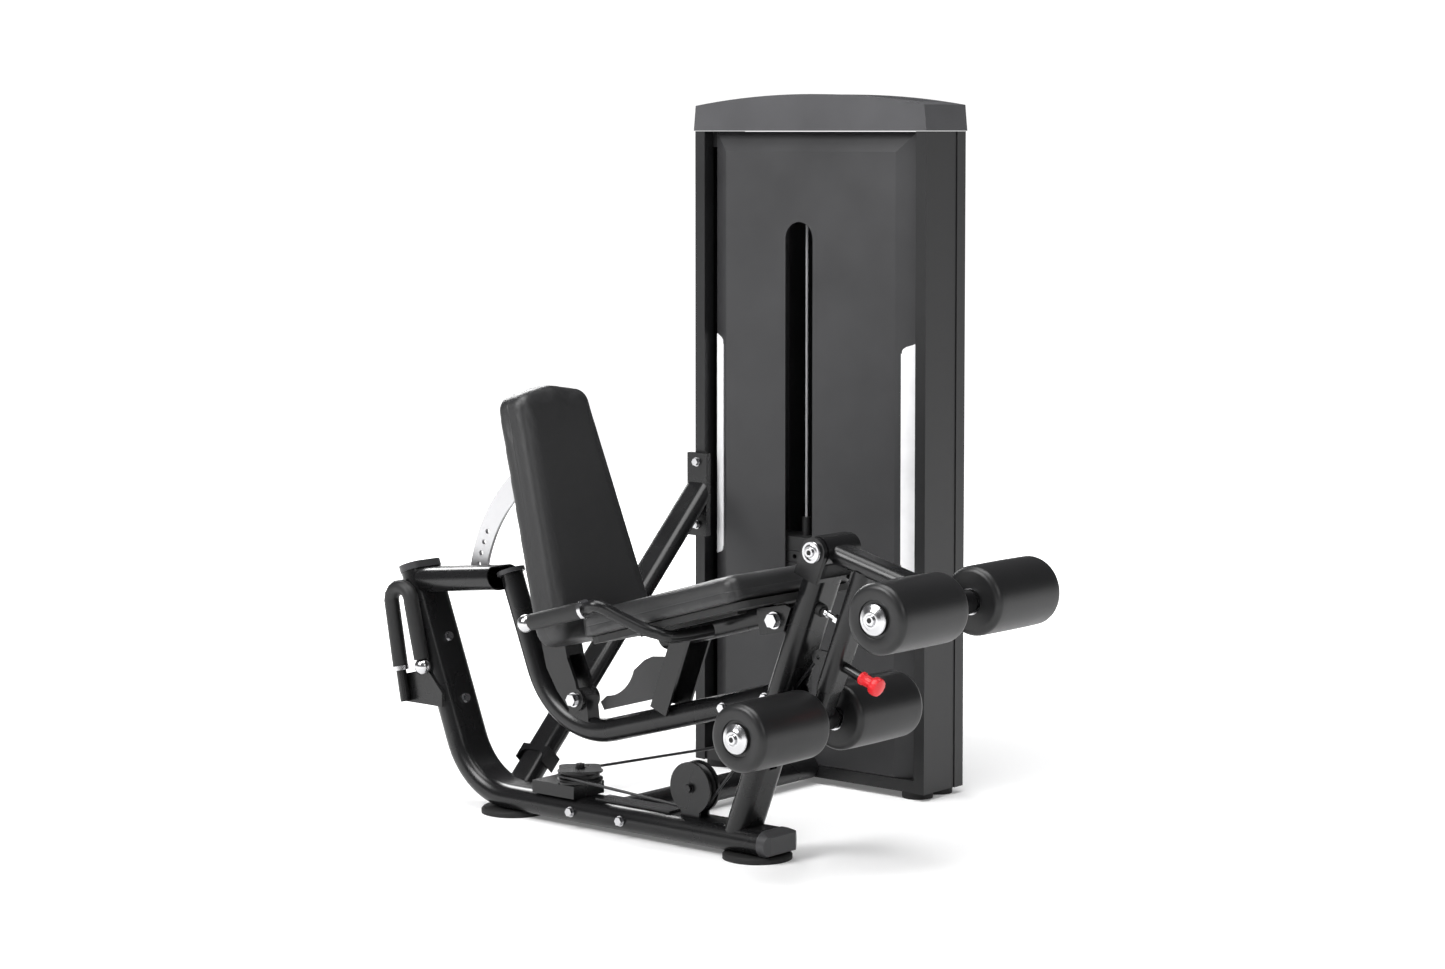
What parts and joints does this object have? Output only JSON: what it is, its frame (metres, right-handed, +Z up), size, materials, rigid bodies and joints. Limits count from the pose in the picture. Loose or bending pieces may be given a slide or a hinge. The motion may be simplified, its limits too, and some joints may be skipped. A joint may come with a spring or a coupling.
{
  "type": "leg extension and leg curl machine",
  "caption": "Seated leg extension and curl machine: weight stack tower, reclining pad back, tilted seat and a pivoting lever with foam rollers.",
  "frame": {"origin": "middle of the machine's footprint on the floor", "axes": "+X the way the seated user faces, +Y from the bench to the weight tower, +Z up"},
  "size_m": [1.5148, 1.082, 1.4999],
  "materials": {
    "frame_paint": "satin black powder coat",
    "tower_paint": "satin dark grey powder coat",
    "cap_plastic": "fine satin, mid grey",
    "panel_paint": "satin grey",
    "strip_white": "smooth white",
    "vinyl": "satin black upholstery vinyl",
    "foam": "satin moulded foam",
    "cap_grey": "satin dark grey",
    "black_plastic": "satin black",
    "wheel_nylon": "satin black",
    "chrome": "polished",
    "satin_steel": "satin",
    "plate_iron": "painted black",
    "bronze": "machined",
    "red_plastic": "smooth red",
    "cable_coat": "smooth",
    "rubber": "matte black",
    "board": "painted plywood"
  },
  "bodies": {
    "frame": {"base_beam": "frame_paint", "beam_end_caps": "cap_grey", "rear_beam": "frame_paint", "cross_beam": "frame_paint", "diagonal_brace": "frame_paint", "brace_brackets": "frame_paint", "base_feet": "rubber", "front_post": "frame_paint", "seat_tube": "frame_paint", "seat_strut": "frame_paint", "guard_plate": "cap_grey", "seat_rail": "frame_paint", "back_arm": "frame_paint", "seat_board": "board", "seat_cushion": "vinyl", "side_handles": "frame_paint", "handle_grips": "foam", "handle_trim": "chrome", "hook_handle": "frame_paint", "hook_grip": "foam", "frame_bolts": "chrome", "pulley_brackets": "frame_paint", "pivot_axle": "chrome", "stop_bumper": "rubber", "tower_frame": "tower_paint", "tower_cap": "cap_plastic", "front_panel": "panel_paint", "rear_panel": "panel_paint", "accent_strips": "strip_white", "guide_rods": "chrome", "stack_bumpers": "rubber", "lift_cable": "cable_coat", "weight_plates_low": "plate_iron", "pulley_axles": "satin_steel", "pulley_hangers": "frame_paint", "cable_to_lever": "cable_coat", "cable_to_stack": "cable_coat"},
    "leg_lever": {"leg_lever": "frame_paint", "lever_bushes": "bronze", "stop_stud": "chrome", "upper_axle": "chrome"},
    "lower_slide": {"slide_tube": "frame_paint", "lower_axle": "chrome"},
    "upper_roller_near": {"upper_roller_near": "foam"},
    "upper_roller_far": {"upper_roller_far": "foam"},
    "lower_roller_near": {"lower_roller_near": "foam"},
    "lower_roller_far": {"lower_roller_far": "foam"},
    "lever_pin": {"lever_pin": "red_plastic"},
    "weights": {"weight_head": "plate_iron", "weight_plates_up": "plate_iron"},
    "selector_pin": {"selector_pin": "red_plastic"},
    "back_rest": {"back_frame": "frame_paint", "back_cushion": "vinyl", "recline_arc": "satin_steel"},
    "back_pin": {"back_pin": "black_plastic"},
    "base_pulley": {"base_pulley_wheel": "wheel_nylon"},
    "turn_pulley": {"turn_pulley_wheel": "wheel_nylon"},
    "low_pulley": {"tower_pulley_low": "wheel_nylon"},
    "top_pulley": {"tower_pulley_top": "wheel_nylon"}
  },
  "joints": [
    {"name": "leg_swing", "type": "hinge", "parent": "frame", "child": "leg_lever", "pos_m": [0.3955, -0.28, 0.623], "axis": [0, -1, 0], "range_deg": [0, 90], "deforming": ["cable_to_lever"]},
    {"name": "lower_roller_height", "type": "slide", "parent": "leg_lever", "child": "lower_slide", "axis": [0.3567, 0, 0.9342], "range_m": [-0.05, 0.025]},
    {"name": "upper_roller_near_spin", "type": "hinge", "parent": "leg_lever", "child": "upper_roller_near", "pos_m": [0.6915, -0.427, 0.5459], "axis": [0, 1, 0], "continuous": true},
    {"name": "upper_roller_far_spin", "type": "hinge", "parent": "leg_lever", "child": "upper_roller_far", "pos_m": [0.6915, -0.133, 0.5459], "axis": [0, 1, 0], "continuous": true},
    {"name": "lower_roller_near_spin", "type": "hinge", "parent": "lower_slide", "child": "lower_roller_near", "pos_m": [0.3685, -0.427, 0.29], "axis": [0, 1, 0], "continuous": true},
    {"name": "lower_roller_far_spin", "type": "hinge", "parent": "lower_slide", "child": "lower_roller_far", "pos_m": [0.3685, -0.133, 0.29], "axis": [0, 1, 0], "continuous": true},
    {"name": "lever_pin_pull", "type": "slide", "parent": "leg_lever", "child": "lever_pin", "axis": [0.9342, 0, -0.3567], "range_m": [0, 0.012], "stiffness_N_per_m": 600, "springref_m": -0.01},
    {"name": "stack_lift", "type": "slide", "parent": "frame", "child": "weights", "axis": [0, 0, 1], "range_m": [0, 0.3], "deforming": ["cable_to_stack"]},
    {"name": "selector_pin_pull", "type": "slide", "parent": "weights", "child": "selector_pin", "axis": [0, -1, 0], "range_m": [0, 0.065]},
    {"name": "back_recline", "type": "hinge", "parent": "frame", "child": "back_rest", "pos_m": [-0.2835, -0.28, 0.43], "axis": [0, -1, 0], "range_deg": [0, 18]},
    {"name": "back_pin_pull", "type": "slide", "parent": "frame", "child": "back_pin", "axis": [0, 1, 0], "range_m": [0, 0.015], "stiffness_N_per_m": 600, "springref_m": -0.01},
    {"name": "base_pulley_spin", "type": "hinge", "parent": "frame", "child": "base_pulley", "pos_m": [0.0515, -0.28, 0.118], "axis": [0, -1, 0], "continuous": true},
    {"name": "turn_pulley_spin", "type": "hinge", "parent": "frame", "child": "turn_pulley", "pos_m": [-0.2595, -0.28, 0.103], "axis": [0, 0, 1], "continuous": true},
    {"name": "low_pulley_spin", "type": "hinge", "parent": "frame", "child": "low_pulley", "pos_m": [-0.1665, 0.483, 0.133], "axis": [-1, 0, 0], "continuous": true},
    {"name": "top_pulley_spin", "type": "hinge", "parent": "frame", "child": "top_pulley", "pos_m": [-0.19, 0.458, 1.315], "axis": [-0.9196, 0.3929, 0], "continuous": true}
  ],
  "couplings": [
    {"joint": "stack_lift", "follows": "leg_swing", "m_per_rad": 0.189},
    {"joint": "base_pulley_spin", "follows": "leg_swing", "ratio": 4.2},
    {"joint": "turn_pulley_spin", "follows": "leg_swing", "ratio": 4.2955},
    {"joint": "low_pulley_spin", "follows": "leg_swing", "ratio": 6.3},
    {"joint": "top_pulley_spin", "follows": "leg_swing", "ratio": 3.16}
  ]
}
